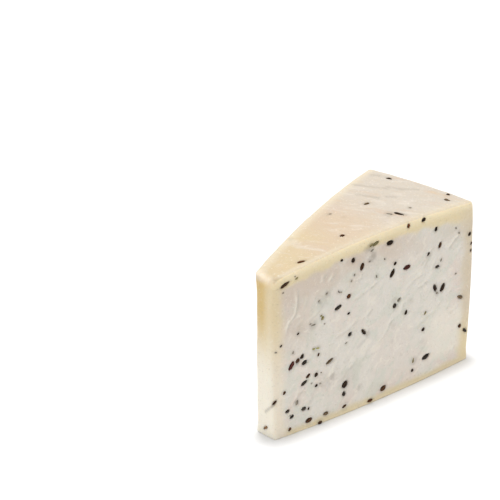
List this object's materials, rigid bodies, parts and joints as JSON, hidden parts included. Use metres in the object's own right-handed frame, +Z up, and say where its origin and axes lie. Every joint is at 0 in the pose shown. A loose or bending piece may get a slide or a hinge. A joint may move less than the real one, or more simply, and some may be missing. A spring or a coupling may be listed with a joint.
{
  "type": "cheese wedge",
  "caption": "Tall wedge of pale semi-hard cheese with caraway seeds: one cut face, natural rind on the other sides, standing on a flat base.",
  "frame": {"origin": "middle of the bounding box, at the flat base", "axes": "+X along the cut face from the narrow nose to the heel, +Y from the cut face into the cheese, so the cut faces -Y, +Z up"},
  "size_m": [0.1329, 0.0669, 0.0958],
  "materials": {
    "paste": "moist, faintly translucent ivory cheese; greenish-white and torn on the cut, warm yellow-ivory and smooth on the rind",
    "seed": "dark brown, dull, lengthwise ridged seed coat"
  },
  "bodies": {
    "root": {"cheese_paste": "paste", "caraway_seed_01": "seed", "caraway_seed_02": "seed", "caraway_seed_03": "seed", "caraway_seed_04": "seed", "caraway_seed_05": "seed", "caraway_seed_06": "seed", "caraway_seed_07": "seed", "caraway_seed_08": "seed", "caraway_seed_09": "seed", "caraway_seed_10": "seed", "caraway_seed_11": "seed", "caraway_seed_12": "seed", "caraway_seed_13": "seed", "caraway_seed_14": "seed", "caraway_seed_15": "seed", "caraway_seed_16": "seed", "caraway_seed_17": "seed", "caraway_seed_18": "seed", "caraway_seed_19": "seed", "caraway_seed_20": "seed", "caraway_seed_21": "seed", "caraway_seed_22": "seed", "caraway_seed_23": "seed", "caraway_seed_24": "seed", "caraway_seed_25": "seed", "caraway_seed_26": "seed", "caraway_seed_27": "seed", "caraway_seed_28": "seed", "caraway_seed_29": "seed", "caraway_seed_30": "seed", "caraway_seed_31": "seed", "caraway_seed_32": "seed", "caraway_seed_33": "seed", "caraway_seed_34": "seed", "caraway_seed_35": "seed", "caraway_seed_36": "seed", "caraway_seed_37": "seed", "caraway_seed_38": "seed", "caraway_seed_39": "seed", "caraway_seed_40": "seed", "caraway_seed_41": "seed", "caraway_seed_42": "seed", "caraway_seed_43": "seed", "caraway_seed_44": "seed", "caraway_seed_45": "seed", "caraway_seed_46": "seed", "caraway_seed_47": "seed", "caraway_seed_48": "seed", "caraway_seed_49": "seed", "caraway_seed_50": "seed", "caraway_seed_51": "seed", "caraway_seed_52": "seed", "caraway_seed_53": "seed", "caraway_seed_54": "seed", "caraway_seed_55": "seed", "caraway_seed_56": "seed", "caraway_seed_57": "seed", "caraway_seed_58": "seed", "caraway_seed_59": "seed"}
  },
  "joints": []
}
